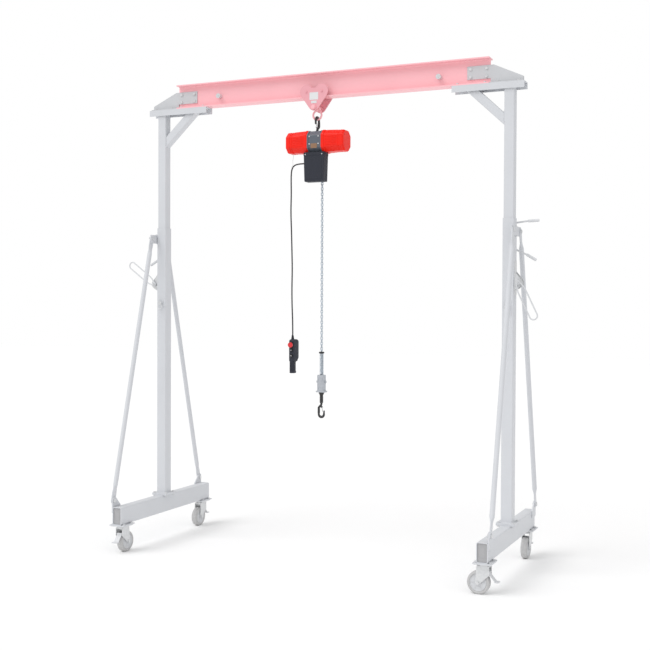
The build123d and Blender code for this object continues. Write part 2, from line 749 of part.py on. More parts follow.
# heights are measured from the underside of the hoist
hanging_route = [
    (gland_x, gland_y, -gland_length),
    (gland_x, gland_y, -39.0),
    (-81.0, 28.0, -59.0),
    (-108.0, 20.0, -67.0),
    (-148.0, 6.0, -69.0),
    (-178.0, -6.0, -79.0),
    (-194.0, -12.0, -103.0),
    (-199.0, -15.0, -139.0),
    (-199.5, -15.5, -199.0),
    (-198.0, -14.5, -295.0),
    (-201.5, -15.0, -425.0),
    (-195.0, -15.5, -565.0),
    (-191.5, -14.5, -705.0),
    (-187.5, -15.0, -845.0),
    (-190.5, -15.5, -985.0),
    (-189.0, -14.5, -1115.0),
    (pendant_x, pendant_y, -1235.0),
    (pendant_x, pendant_y, boot_length - pendant_drop),
]


cable_route = [(x, y, hoist_bottom + z) for x, y, z in hanging_route]


def bend_radii(route):
    radii = []
    for before, here, after in zip(route, route[1:], route[2:]):
        first = Vector(*here) - Vector(*before)
        second = Vector(*after) - Vector(*here)
        turn = first.get_angle(second)
        radii.append(0.45 * min(first.length, second.length) / tan(radians(turn / 2)))
    return radii


def make_cable():
    radii = bend_radii(cable_route)
    print("cable radii", [round(value) for value in radii])
    path = FilletPolyline(*cable_route, radius=radii)
    way = Vector(*cable_route[1]) - Vector(*cable_route[0])
    body = sweep(Plane(origin=cable_route[0], z_dir=way) * Circle(cable_radius), path=path)
    expected = path.length * pi * cable_radius ** 2
    print("cable length", round(path.length, 1), "volume ratio", round(body.volume / expected, 4))
    return body


# height, radius, and the rounding of a mushroom cap, or 0 for a flat button
buttons = {
    "stop_button": (pendant_top - 41, 10.0, 3.0),
    "up_button": (pendant_top - 80, 9.0, 0.0),
    "down_button": (pendant_top - 121, 9.0, 0.0),
}


def make_pendant():
    half = pendant_width / 2
    points = [(pendant_front, pendant_top), (pendant_back - 12, pendant_top), (pendant_back, pendant_top - 14)]
    points += [(pendant_back, pendant_low + 26), (pendant_back - 22, pendant_low), (pendant_front, pendant_low)]
    head = plate(points, "yz", pendant_x - half, pendant_width)
    head = fillet(head.edges().filter_by(Axis.Z), 6)
    half = grip_width / 2
    low = (pendant_x - half, pendant_front + 2, pendant_foot)
    grip = block(low, (pendant_x + half, pendant_front + 40, pendant_low))
    grip = fillet(grip.edges().filter_by(Axis.Z), 9)
    low = (pendant_x - 10, pendant_front + 38, pendant_foot + 2)
    heel = block(low, (pendant_x + 10, pendant_front + 47, pendant_foot + 14))
    boot = Pos(pendant_x, pendant_y, pendant_top + boot_length / 2) * Cone(11, cable_radius + 1.5, boot_length)
    body = head + grip + heel + boot
    for z, radius, _ in buttons.values():
        body -= rod(radius + 0.4, 24, (pendant_x, pendant_front, z), "y")
    return body


def make_button(z, radius, extra):
    body = rod(radius, 14, (pendant_x, pendant_front - 1, z), "y")
    if extra:
        stem = rod(radius, 12, (pendant_x, pendant_front - 12, z), "y")
        cap = fillet(Cylinder(19, 12).edges(), extra)
        body += stem + Pos(pendant_x, pendant_front - 19, z) * Rot(90, 0, 0) * cap
    return body


def make_control():
    gland = rod(9, 10 + gland_length, (gland_x, gland_y, hoist_bottom + 5 - gland_length / 2))
    gland += hexagon(13, 6, (gland_x, gland_y, hoist_bottom - 3))
    save("cable_gland", gland)
    save("pendant_cable", make_cable())
    save("pendant", make_pendant())
    for name, (z, radius, extra) in buttons.items():
        save(name, make_button(z, radius, extra))


make_bridge()
make_legs()
make_casters()
make_trolley()
make_hoist()
make_lift()
make_control()
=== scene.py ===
import json
from math import cos, pi, radians, sin

import bmesh
import bpy
from mathutils import Matrix, Vector


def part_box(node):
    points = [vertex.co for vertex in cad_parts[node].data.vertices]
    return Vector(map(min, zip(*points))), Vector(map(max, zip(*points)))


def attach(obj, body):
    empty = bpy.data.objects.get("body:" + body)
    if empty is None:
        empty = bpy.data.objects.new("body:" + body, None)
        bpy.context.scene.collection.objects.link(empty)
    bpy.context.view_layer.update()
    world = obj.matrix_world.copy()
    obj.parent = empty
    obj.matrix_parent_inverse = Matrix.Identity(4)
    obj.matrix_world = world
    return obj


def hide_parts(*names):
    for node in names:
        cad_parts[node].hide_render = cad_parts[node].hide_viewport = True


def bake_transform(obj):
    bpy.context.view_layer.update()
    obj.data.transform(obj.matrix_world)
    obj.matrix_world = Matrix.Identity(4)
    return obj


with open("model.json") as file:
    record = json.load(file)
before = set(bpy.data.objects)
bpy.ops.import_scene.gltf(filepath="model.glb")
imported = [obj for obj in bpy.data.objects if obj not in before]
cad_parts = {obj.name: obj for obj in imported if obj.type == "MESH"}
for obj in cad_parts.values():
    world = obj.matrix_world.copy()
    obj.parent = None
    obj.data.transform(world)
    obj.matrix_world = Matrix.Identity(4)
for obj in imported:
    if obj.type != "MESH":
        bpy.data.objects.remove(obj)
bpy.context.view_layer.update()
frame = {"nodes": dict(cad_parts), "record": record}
nodes = frame["nodes"]
print("frame loaded:", len(nodes), "nodes")


cameraView = {
    "place": (3.3127, -6.858, 1.814),
    "yaw": 23.076,          # degrees, turned from +Y towards -X
    "pitch": 0.988,         # degrees, looking down
    "roll": 0.263,
    "lens": 57.5,
    "shift": (-0.0615, 0.0),
}


def makeCamera(view):
    yaw, pitch, roll = (radians(view[name]) for name in ("yaw", "pitch", "roll"))
    forward = Vector((-sin(yaw) * cos(pitch), cos(yaw) * cos(pitch), -sin(pitch)))
    level = Vector((cos(yaw), sin(yaw), 0))
    upright = level.cross(forward)
    right = level * cos(roll) + upright * sin(roll)
    up = upright * cos(roll) - level * sin(roll)
    data = bpy.data.cameras.new("camera")
    data.lens = view["lens"]
    data.sensor_width = 36
    data.shift_x, data.shift_y = view["shift"]
    data.clip_end = 60
    camera = bpy.data.objects.new("camera", data)
    turn = Matrix((right, up, -forward)).transposed()
    camera.matrix_world = Matrix.Translation(view["place"]) @ turn.to_4x4()
    bpy.context.scene.collection.objects.link(camera)
    bpy.context.scene.camera = camera


makeCamera(cameraView)


def newGroup(name, inputs, outputs):
    # inputs and outputs are (name, socket type, default) rows
    tree = bpy.data.node_groups.new(name, "ShaderNodeTree")
    for label, kind, value in inputs:
        socket = tree.interface.new_socket(name=label, in_out="INPUT", socket_type=kind)
        socket.default_value = value
    for label, kind in outputs:
        tree.interface.new_socket(name=label, in_out="OUTPUT", socket_type=kind)
    return tree, tree.nodes.new("NodeGroupInput"), tree.nodes.new("NodeGroupOutput")


def addNode(tree, kind, links=None, **settings):
    node = tree.nodes.new("ShaderNode" + kind)
    for name, value in settings.items():
        setattr(node, name, value)
    for socket, source in (links or {}).items():
        if hasattr(source, "is_output"):
            tree.links.new(source, node.inputs[socket])
        else:
            node.inputs[socket].default_value = source
    return node


def mapRange(tree, value, between, to=(0.0, 1.0)):
    ends = {"From Min": between[0], "From Max": between[1], "To Min": to[0], "To Max": to[1]}
    return addNode(tree, "MapRange", {"Value": value, **ends}).outputs[0]


def times(tree, one, other):
    return addNode(tree, "Math", {0: one, 1: other}, operation="MULTIPLY").outputs[0]


def makeGrain():
    # fine two-scale noise: the orange peel of paint, the grain of moulding or casting
    tree, start, end = newGroup(
        "grain",
        [("Scale", "NodeSocketFloat", 300.0), ("Coarse Scale", "NodeSocketFloat", 20.0)],
        [("Fine", "NodeSocketFloat"), ("Coarse", "NodeSocketFloat")],
    )
    place = addNode(tree, "TexCoord").outputs["Object"]
    for label, source, detail in (("Fine", "Scale", 3.0), ("Coarse", "Coarse Scale", 4.0)):
        wanted = {"Vector": place, "Scale": start.outputs[source], "Detail": detail}
        noise = addNode(tree, "TexNoise", wanted)
        tree.links.new(noise.outputs["Fac"], end.inputs[label])
    return tree


def makeEdgeWear():
    # how much the surface is worn: sharp edges, broken up by noise
    tree, start, end = newGroup(
        "edge wear",
        [("Width", "NodeSocketFloat", 0.002), ("Amount", "NodeSocketFloat", 0.5)],
        [("Wear", "NodeSocketFloat")],
    )
    bevel = addNode(tree, "Bevel", {"Radius": start.outputs["Width"]}, samples=4)
    flat = addNode(tree, "NewGeometry").outputs["Normal"]
    dot = addNode(tree, "VectorMath", {0: bevel.outputs["Normal"], 1: flat}, operation="DOT_PRODUCT")
    edge = mapRange(tree, dot.outputs["Value"], (0.995, 0.80))
    place = addNode(tree, "TexCoord").outputs["Object"]
    noise = addNode(tree, "TexNoise", {"Vector": place, "Scale": 38.0, "Detail": 6.0, "Roughness": 0.7})
    broken = mapRange(tree, noise.outputs["Fac"], (0.42, 0.62))
    worn = times(tree, times(tree, edge, broken), start.outputs["Amount"])
    tree.links.new(worn, end.inputs["Wear"])
    return tree


def makeDust():
    # pale dust that settles on faces that look up, and grime low down near the floor
    tree, start, end = newGroup(
        "dust", [("Amount", "NodeSocketFloat", 0.2), ("Low Height", "NodeSocketFloat", 0.3)],
        [("Dust", "NodeSocketFloat")],
    )
    geometry = addNode(tree, "NewGeometry")
    normal = addNode(tree, "SeparateXYZ", {0: geometry.outputs["Normal"]})
    place = addNode(tree, "TexCoord").outputs["Object"]
    height = addNode(tree, "SeparateXYZ", {0: place})
    up = mapRange(tree, normal.outputs["Z"], (0.5, 1.0))
    low = mapRange(tree, height.outputs["Z"], (start.outputs["Low Height"], 0.0), (0.0, 0.7))
    most = addNode(tree, "Math", {0: up, 1: low}, operation="MAXIMUM")
    noise = addNode(tree, "TexNoise", {"Vector": place, "Scale": 9.0, "Detail": 5.0})
    patchy = times(tree, most.outputs[0], noise.outputs["Fac"])
    tree.links.new(times(tree, patchy, start.outputs["Amount"]), end.inputs["Dust"])
    return tree


grainGroup = makeGrain()
edgeWearGroup = makeEdgeWear()
dustGroup = makeDust()
dustColour = (0.62, 0.61, 0.59, 1)


def useGroup(tree, group, **values):
    node = tree.nodes.new("ShaderNodeGroup")
    node.node_tree = group
    for name, value in values.items():
        node.inputs[name].default_value = value
    return node


def mixColour(tree, factor, one, other):
    node = tree.nodes.new("ShaderNodeMix")
    node.data_type = "RGBA"
    for socket, source in ((node.inputs[0], factor), (node.inputs[6], one), (node.inputs[7], other)):
        if hasattr(source, "is_output"):
            tree.links.new(source, socket)
        else:
            socket.default_value = source
    return node.outputs[2]


def shade(rgb, factor):
    return tuple(min(1.0, value * factor) for value in rgb[:3]) + (1,)


def makeFinish(name, look):
    # one shader for every finish of this crane; what differs is in its dictionary
    material = bpy.data.materials.new(name)
    material.use_nodes = True
    tree = material.node_tree
    shader = tree.nodes["Principled BSDF"]
    shader.inputs["Specular IOR Level"].default_value = look.get("specular", 0.5)
    shader.inputs["Coat Weight"].default_value = look.get("coat", 0.0)
    shader.inputs["Coat Roughness"].default_value = 0.25
    grain = useGroup(tree, grainGroup, **{"Scale": look["grain"], "Coarse Scale": look.get("coarse", 14.0)})
    darker, lighter = (shade(look["colour"], factor) for factor in look.get("variation", (0.96, 1.04)))
    colour = mixColour(tree, grain.outputs["Coarse"], darker, lighter)
    shader.inputs["Metallic"].default_value = look.get("metallic", 0.0)
    if "worn" in look:
        wear = useGroup(tree, edgeWearGroup, Width=look.get("wearWidth", 0.0016), Amount=look["wear"])
        colour = mixColour(tree, wear.outputs["Wear"], colour, look["worn"] + (1,))
    if "dust" in look:
        dust = useGroup(tree, dustGroup, **{"Amount": look["dust"]})
        colour = mixColour(tree, dust.outputs["Dust"], colour, dustColour)
    tree.links.new(colour, shader.inputs["Base Color"])
    spread = mapRange(tree, grain.outputs["Coarse"], (0.3, 0.7), look["roughness"])
    tree.links.new(spread, shader.inputs["Roughness"])
    depth = look.get("depth", 0.0006)
    bump = addNode(tree, "Bump", {"Height": grain.outputs["Fine"], "Strength": look["bump"], "Distance": depth})
    tree.links.new(bump.outputs[0], shader.inputs["Normal"])
    return material


finishes = {
    "grey_paint": {
        "colour": (0.63, 0.645, 0.675), "grain": 420.0, "coarse": 5.0,
        "roughness": (0.36, 0.46), "bump": 0.12,
        "variation": (0.96, 1.03), "worn": (0.40, 0.41, 0.43), "wear": 0.35, "dust": 0.16,
    },
    "plate_paint": {
        "colour": (0.575, 0.585, 0.605), "grain": 420.0, "coarse": 9.0,
        "roughness": (0.36, 0.48), "bump": 0.14,
        "variation": (0.96, 1.03), "worn": (0.40, 0.41, 0.43), "wear": 0.35, "dust": 0.10,
    },
    "trolley_paint": {
        "colour": (0.82, 0.385, 0.43), "grain": 420.0, "coarse": 9.0,
        "roughness": (0.34, 0.46), "bump": 0.14,
        "variation": (0.95, 1.03), "worn": (0.60, 0.42, 0.42), "wear": 0.4, "dust": 0.08,
    },
    "red_paint": {
        "colour": (0.95, 0.50, 0.54), "grain": 420.0, "coarse": 4.0,
        "roughness": (0.34, 0.44), "bump": 0.12,
        "variation": (0.96, 1.03), "worn": (0.66, 0.50, 0.50), "wear": 0.3, "dust": 0.10,
    },
    "zinc_steel": {
        "colour": (0.72, 0.73, 0.74), "grain": 900.0, "coarse": 60.0,
        "roughness": (0.30, 0.48), "bump": 0.10,
        "metallic": 0.5, "variation": (0.82, 1.12), "depth": 0.0003,
    },
    "chain_zinc": {
        "colour": (0.58, 0.64, 0.70), "grain": 900.0, "coarse": 90.0,
        "roughness": (0.30, 0.48), "bump": 0.10,
        "metallic": 0.55, "variation": (0.85, 1.12), "depth": 0.0003,
    },
    "cast_zinc": {
        "colour": (0.50, 0.525, 0.565), "grain": 700.0, "coarse": 45.0,
        "roughness": (0.34, 0.52), "bump": 0.30,
        "metallic": 0.6, "variation": (0.85, 1.10),
    },
    "tyre_rubber": {
        "colour": (0.50, 0.50, 0.505), "grain": 800.0, "coarse": 30.0,
        "roughness": (0.70, 0.85), "bump": 0.35,
        "variation": (0.85, 1.15), "dust": 0.5, "specular": 0.3,
    },
    "wheel_core": {
        "colour": (0.62, 0.63, 0.65), "grain": 500.0, "coarse": 30.0,
        "roughness": (0.40, 0.55), "bump": 0.2,
        "variation": (0.92, 1.05),
    },
    "black_steel": {
        "colour": (0.022, 0.022, 0.024), "grain": 600.0, "coarse": 40.0,
        "roughness": (0.30, 0.45), "bump": 0.25,
        "worn": (0.16, 0.16, 0.16), "wear": 0.5, "wearWidth": 0.001, "variation": (0.8, 1.3),
    },
    "lever_grey": {
        "colour": (0.66, 0.67, 0.69), "grain": 600.0, "coarse": 40.0,
        "roughness": (0.36, 0.5), "bump": 0.2,
        "worn": (0.45, 0.45, 0.46), "wear": 0.4, "wearWidth": 0.001,
    },
    "dark_iron": {
        "colour": (0.56, 0.33, 0.35), "grain": 500.0, "coarse": 25.0,
        "roughness": (0.42, 0.6), "bump": 0.35,
        "variation": (0.9, 1.1),
    },
    "hoist_red": {
        "colour": (0.90, 0.016, 0.005), "grain": 500.0, "coarse": 16.0,
        "roughness": (0.34, 0.44), "bump": 0.10,
        "coat": 0.04, "specular": 0.25, "worn": (0.42, 0.05, 0.03), "wear": 0.3, "wearWidth": 0.0012,
        "variation": (0.94, 1.04),
    },
    "hoist_grey": {
        "colour": (0.105, 0.12, 0.145), "grain": 500.0, "coarse": 20.0,
        "roughness": (0.38, 0.52), "bump": 0.3,
        "worn": (0.30, 0.31, 0.33), "wear": 0.5, "wearWidth": 0.001,
    },
    "charcoal_plastic": {
        "colour": (0.022, 0.025, 0.037), "grain": 1100.0, "coarse": 24.0,
        "roughness": (0.48, 0.62), "bump": 0.5,
        "specular": 0.35,
        "variation": (0.9, 1.1),
    },
    "black_rubber": {
        "colour": (0.018, 0.018, 0.02), "grain": 900.0, "coarse": 50.0,
        "roughness": (0.5, 0.65), "bump": 0.3,
        "variation": (0.85, 1.2),
    },
    "stop_red": {
        "colour": (0.66, 0.018, 0.025), "grain": 600.0, "coarse": 60.0,
        "roughness": (0.22, 0.30), "bump": 0.05,
        "coat": 0.3,
    },
    "button_grey": {
        "colour": (0.030, 0.030, 0.034), "grain": 900.0, "coarse": 70.0,
        "roughness": (0.4, 0.5), "bump": 0.2,
    },
    "label_tan": {
        "colour": (0.27, 0.15, 0.085), "grain": 700.0, "coarse": 130.0,
        "roughness": (0.3, 0.4), "bump": 0.05,
        "variation": (0.75, 1.25),
    },
    "plug_plastic": {
        "colour": (0.40, 0.40, 0.41), "grain": 900.0, "coarse": 40.0,
        "roughness": (0.5, 0.62), "bump": 0.3,
    },
    "white_mark": {
        "colour": (0.72, 0.73, 0.74), "grain": 700.0, "coarse": 90.0,
        "roughness": (0.4, 0.5), "bump": 0.05,
    },
}
finish = {name: makeFinish(name, look) for name, look in finishes.items()}
print("finishes made:", len(finish))

nodeSlots = {row["node"]: row["material_slot"] for row in frame["record"]["subparts"]}
for name, thing in nodes.items():
    slotName = nodeSlots[name]
    if "clamp_lever" in name or "winch_handle" in name or "brake" in name:
        slotName = "lever_grey"
    elif name == "gussets":
        slotName = "plate_paint"
    elif name.startswith("trolley_plates"):
        slotName = "trolley_paint"
    thing.data.materials.clear()
    thing.data.materials.append(finish[slotName])


def addPiece(name, mesh, finishName, body):
    mesh.materials.append(finish[finishName])
    thing = bpy.data.objects.new(name, mesh)
    bpy.context.scene.collection.objects.link(thing)
    if body:
        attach(thing, body)
    return thing


def meshFrom(name, build, smooth=True):
    form = bmesh.new()
    build(form)
    bmesh.ops.recalc_face_normals(form, faces=form.faces)
    mesh = bpy.data.meshes.new(name)
    form.to_mesh(mesh)
    form.free()
    if smooth:
        mesh.shade_smooth()
    return mesh


def roundEdges(thing, width, segments=2):
    bevel = thing.modifiers.new("edges", "BEVEL")
    bevel.width = width
    bevel.segments = segments
    bevel.limit_method = "ANGLE"
    bevel.angle_limit = radians(32)
    bevel.harden_normals = True
    return thing


def ringsTube(form, rings, closed=False):
    # joins rings of points with quads, and caps the two ends unless they meet in a loop
    loops = [[form.verts.new(point) for point in ring] for ring in rings]
    count = len(loops[0])
    pairs = list(zip(loops, loops[1:] + loops[:1])) if closed else list(zip(loops, loops[1:]))
    for one, other in pairs:
        for i in range(count):
            j = (i + 1) % count
            form.faces.new((one[i], one[j], other[j], other[i]))
    if not closed:
        form.faces.new(loops[0])
        form.faces.new(list(reversed(loops[-1])))


def pipe(form, points, radius, sides=10, closed=False):
    # a round tube along points; radius is one number or one for each point
    radii = radius if isinstance(radius, list) else [radius] * len(points)
    points = [Vector(point) for point in points]
    count = len(points)
    rings = []
    side = None
    for i, point in enumerate(points):
        ahead = points[(i + 1) % count] if closed or i + 1 < count else point
        behind = points[i - 1] if closed or i > 0 else point
        way = (ahead - behind).normalized()
        if side is None:
            side = way.orthogonal().normalized()
        side = (side - way * side.dot(way)).normalized()
        across = way.cross(side)
        turns = [2 * pi * k / sides for k in range(sides)]
        rings.append([point + (side * cos(t) + across * sin(t)) * radii[i] for t in turns])
    ringsTube(form, rings, closed)


def lathe(form, profile, at, axis, sides=40):
    # turns (radius, distance along the axis) pairs about an axis through at
    at, axis = Vector(at), Vector(axis).normalized()
    one = axis.orthogonal().normalized()
    two = axis.cross(one)
    turns = [2 * pi * k / sides for k in range(sides)]
    rings = [[at + axis * z + (one * cos(t) + two * sin(t)) * r for t in turns] for r, z in profile]
    ringsTube(form, rings)


def slab(form, centre, half, turn=None):
    made = bmesh.ops.create_cube(form, size=2.0)["verts"]
    size = Matrix.Diagonal((*half, 1))
    matrix = Matrix.Translation(centre) @ (turn or Matrix.Identity(3)).to_4x4() @ size
    bmesh.ops.transform(form, matrix=matrix, verts=made)


cable = {
    "diameter": 0.010,
    "length": 1.409,
    # leaves the gland, bends over beside the chain box and hangs to the pendant
    "route": [
        (-0.0674, 0.0320, 2.921), (-0.0674, 0.0320, 2.896), (-0.0810, 0.0280, 2.876),
        (-0.1080, 0.0200, 2.868), (-0.1480, 0.0060, 2.866), (-0.1780, -0.0060, 2.856),
        (-0.1940, -0.0120, 2.832), (-0.1990, -0.0150, 2.796), (-0.1995, -0.0155, 2.736),
        (-0.1980, -0.0145, 2.640), (-0.2015, -0.0150, 2.510), (-0.1950, -0.0155, 2.370),
        (-0.1915, -0.0145, 2.230), (-0.1875, -0.0150, 2.090), (-0.1905, -0.0155, 1.950),
        (-0.1890, -0.0145, 1.820), (-0.1824, -0.0150, 1.700), (-0.1824, -0.0150, 1.605),
    ],
}


def makeCable(look):
    data = bpy.data.curves.new("pendant_cable_cord", "CURVE")
    data.dimensions = "3D"
    data.resolution_u = 12
    line = data.splines.new("NURBS")
    line.points.add(len(look["route"]) - 1)
    for point, place in zip(line.points, look["route"]):
        point.co = (*place, 1)
    line.order_u = 3
    line.use_endpoint_u = True
    data.bevel_depth = look["diameter"] / 2
    data.bevel_resolution = 4
    data.use_fill_caps = True
    data.materials.append(finish["black_rubber"])
    thing = bpy.data.objects.new("pendant_cable_cord", data)
    bpy.context.scene.collection.objects.link(thing)
    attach(thing, "hoist")
    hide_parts("pendant_cable")
    return thing


strainWire = {
    "radius": 0.0014, "slack": 0.0015, "loops": (0.005, 0.0075),
    "top": (-0.186, -0.004, 2.944), "clip": (-0.1905, -0.0105, 2.842),
}


def makeStrainWire(look):
    # thin steel wire that takes the cable's weight, looped to a clip on the bend
    top, clip = Vector(look["top"]), Vector(look["clip"])

    def build(form):
        steps = 14
        line = []
        for i in range(steps + 1):
            slack = look["slack"] * sin(9 * i / steps)
            line.append(top.lerp(clip, i / steps) + Vector((slack, 0, 0)))
        pipe(form, line, look["radius"], 8)
        turns = [2 * pi * k / 20 for k in range(20)]
        for centre, size in zip((top, clip), look["loops"]):
            loop = [centre + Vector((cos(t), 0, sin(t))) * size for t in turns]
            pipe(form, loop, look["radius"], 8, True)

    return addPiece("strain_wire", meshFrom("strain_wire", build), "zinc_steel", "hoist")


cord = makeCable(cable)
wire = makeStrainWire(strainWire)
print("cable laid")


chain = {"wire": 0.0033, "pitch": 0.0195, "half": 0.0072, "sides": 8}


def chainLink(form, centre, turned, look):
    # one oval link, standing along z, in the xz or the yz plane
    straight = look["pitch"] / 2 - look["half"] + look["wire"]
    points = []
    for top, start in ((1, 0.0), (-1, pi)):
        for i in range(7):
            angle = start + pi * i / 6
            across = look["half"] * cos(angle)
            points.append((across, top * straight + look["half"] * sin(angle)))
    line = [centre + Vector((0, a, z) if turned else (a, 0, z)) for a, z in points]
    pipe(form, line, look["wire"], look["sides"], True)


def makeChain(look):
    low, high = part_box("load_chain")
    middle = (low + high) / 2
    count = int((high.z - low.z - 2 * look["half"]) / look["pitch"])
    first = (high.z - low.z - (count - 1) * look["pitch"]) / 2

    def build(form):
        for i in range(count):
            at = Vector((middle.x, middle.y, low.z + first + i * look["pitch"]))
            chainLink(form, at, i % 2 == 1, look)

    mesh = meshFrom("load_chain_links", build)
    thing = addPiece("load_chain_links", mesh, "chain_zinc", None)
    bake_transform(thing)
    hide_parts("load_chain")


spring = {"wire": 0.0021, "turns": 21, "radius": 0.0137, "disc": 0.012, "discEdge": 0.0198}


def makeSpring(look):
    low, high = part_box("limit_spring")
    middle = (low + high) / 2
    top = high.z - look["disc"]

    def build(form):
        steps = look["turns"] * 18
        points = []
        for i in range(steps + 1):
            t = 2 * pi * look["turns"] * i / steps
            z = low.z + look["wire"] + (top - low.z - 2 * look["wire"]) * i / steps
            points.append((middle.x + look["radius"] * cos(t), middle.y + look["radius"] * sin(t), z))
        pipe(form, points, look["wire"], 7)

    mesh = meshFrom("limit_spring_coil", build)
    coil = addPiece("limit_spring_coil", mesh, "chain_zinc", "lower_block")
    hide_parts("limit_spring")

    def buildDisc(form):
        bore, edge, deep = chain["half"] + chain["wire"] + 0.001, look["discEdge"], look["disc"]
        profile = [(bore, 0), (edge - 0.002, 0), (edge, 0.002)]
        profile += [(edge, deep - 0.003), (edge - 0.003, deep), (bore, deep)]
        lathe(form, profile, (middle.x, middle.y, top), (0, 0, 1), 32)

    addPiece("spring_disc", meshFrom("spring_disc", buildDisc), "black_rubber", "lower_block")


liftBlock = {
    "half": 0.0285, "deep": 0.023,
    "rib": 0.0016, "ribs": (0.018, 0.040, 0.062, 0.084, 0.106),
    "screws": [(x, z) for x in (-0.017, 0.017) for z in (0.030, 0.095)],
}


def makeBlockTrim(look):
    # cast ribs, and the screws that hold the two halves of the block
    low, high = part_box("bottom_block")
    middle = (low + high) / 2
    head = [(0.0045, 0.002), (0.0045, -0.0015), (0.0035, -0.0025)]

    def build(form):
        for up in look["ribs"]:
            for way in (-1, 1):
                at = (middle.x, middle.y + way * (look["deep"] + look["rib"] / 2 - 0.0003), low.z + up)
                slab(form, at, (look["half"] - 0.010, look["rib"] / 2 + 0.0003, 0.0022))
        for x, z in look["screws"]:
            lathe(form, head, (middle.x + x, middle.y - look["deep"] - 0.001, low.z + z), (0, 1, 0), 6)

    mesh = meshFrom("block_ribs", build, False)
    roundEdges(addPiece("block_ribs", mesh, "cast_zinc", "lower_block"), 0.0006)


hooks = {
    "load_hook": {
        "bowl": 0.021, "neck": 0.071, "tip": 0.020, "shank": 0.008, "belly": 0.0098, "point": 0.0048,
    },
    "top_hook": {
        "bowl": 0.027, "neck": 0.062, "tip": 0.018, "shank": 0.009, "belly": 0.0100, "point": 0.0055,
    },
}


def hookLine(look, top):
    # a forged hook's centre line and thickness, from shank to tip, as (across, up, radius)
    bowl, neck = look["bowl"], look["neck"]
    shank, belly, point = look["shank"], look["belly"], look["point"]
    rows = [(0.0, top, shank), (0.0, neck + 0.012, shank), (0.0, neck + 0.003, shank)]
    for i in range(1, 9):
        t = i / 8
        ease = t * t * (3 - 2 * t)
        rows.append((-bowl * ease, neck + 0.003 - 0.030 * t, shank + (belly - shank) * 0.4 * t))
    rows.append((-bowl, 0.012, shank + (belly - shank) * 0.6))
    for i in range(17):
        t = pi + pi * i / 16
        share = sin(pi * i / 16)
        size = shank * 0.92 + (belly - shank * 0.92) * share
        rows.append((bowl * cos(t), bowl * sin(t), size))
    rows += [(bowl, look["tip"] * 0.5, shank * 0.80), (bowl + 0.001, look["tip"], point + 0.0012)]
    rows += [(bowl + 0.002, look["tip"] + 0.005, point), (bowl + 0.003, look["tip"] + 0.0075, point * 0.45)]
    return rows


def makeHook(name, centre, across, up, top, body, look):
    centre, across, up = Vector(centre), Vector(across), Vector(up)

    def build(form):
        rows = hookLine(look, top)
        pipe(form, [centre + across * a + up * z for a, z, _ in rows], [size for _, _, size in rows], 20)
        away = across.cross(up)
        pin = centre + across * 0.004 + up * (look["neck"] - 0.019)
        for way in (-1, 1):
            # two ears that hold the latch pin
            spot = pin + away * way * 0.0068
            lathe(form, [(0.0050, -0.0013), (0.0055, 0.0), (0.0050, 0.0013)], spot, away, 20)
            turn = Matrix((across, away, up)).transposed() @ Matrix.Rotation(radians(38), 3, "Y")
            slab(form, spot - across * 0.007 + up * 0.004, (0.0095, 0.0012, 0.0042), turn)
        lathe(form, [(0.002, -0.0075), (0.002, 0.0075)], pin, away, 12)

    thing = addPiece(name + "_forged", meshFrom(name + "_forged", build), "black_steel", body)
    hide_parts(name)


def makeHooks(looks):
    low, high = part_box("load_hook")
    blockMiddle = (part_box("bottom_block")[0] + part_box("bottom_block")[1]) / 2
    x, y = blockMiddle.x, blockMiddle.y
    look = looks["load_hook"]
    bowlZ = low.z + look["bowl"] + look["shank"]
    makeHook("load_hook", (x, y, bowlZ), (1, 0, 0), (0, 0, 1), high.z - bowlZ, "hook", look)

    def buildCollar(form):
        # the swivel's ringed sleeve, nut and thrust collar under the block
        profile = [(0.0085, bowlZ + 0.080), (0.0115, bowlZ + 0.083)]
        for i in range(5):
            z = bowlZ + 0.087 + 0.0105 * i
            profile += [(0.0122, z), (0.0138, z + 0.0022), (0.0138, z + 0.0048), (0.0112, z + 0.0075)]
        profile += [(0.0185, high.z - 0.0102), (0.0200, high.z - 0.0085)]
        profile += [(0.0200, high.z - 0.0012), (0.0190, high.z)]
        lathe(form, profile, (x, y, 0), (0, 0, 1), 36)

    addPiece("hook_swivel_sleeve", meshFrom("hook_swivel_sleeve", buildCollar), "black_steel", "hook")
    low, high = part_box("top_hook")
    look = looks["top_hook"]
    x = (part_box("trolley_eye")[0].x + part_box("trolley_eye")[1].x) / 2
    bowlZ = high.z - look["bowl"] - look["shank"]
    makeHook("top_hook", (x, 0, bowlZ), (0, -1, 0), (0, 0, -1), bowlZ - low.z, "hoist", look)


makeChain(chain)
makeSpring(spring)
makeHooks(hooks)
makeBlockTrim(liftBlock)
print("chain, spring and lift block made")


covers = {
    "draft": 0.0074, "cut": 0.034, "corner": 0.005,
    "bands": ((0.03, 0.13, 0.0026), (0.72, 0.755, 0.0018), (0.80, 0.955, 0.0024)),   # start, end, height
    "bandSoft": 0.008,
    "fins": (0.18, 0.68), "fin": 0.0022,
    "sideFins": (-0.030, -0.018, -0.006, 0.006, 0.018, 0.030),
    "topFins": (-0.030, -0.015, 0.0, 0.015, 0.030),
    "screw": 0.0042, "screws": [(y, z) for y in (-0.046, 0.046) for z in (-0.040, 0.040)],
}


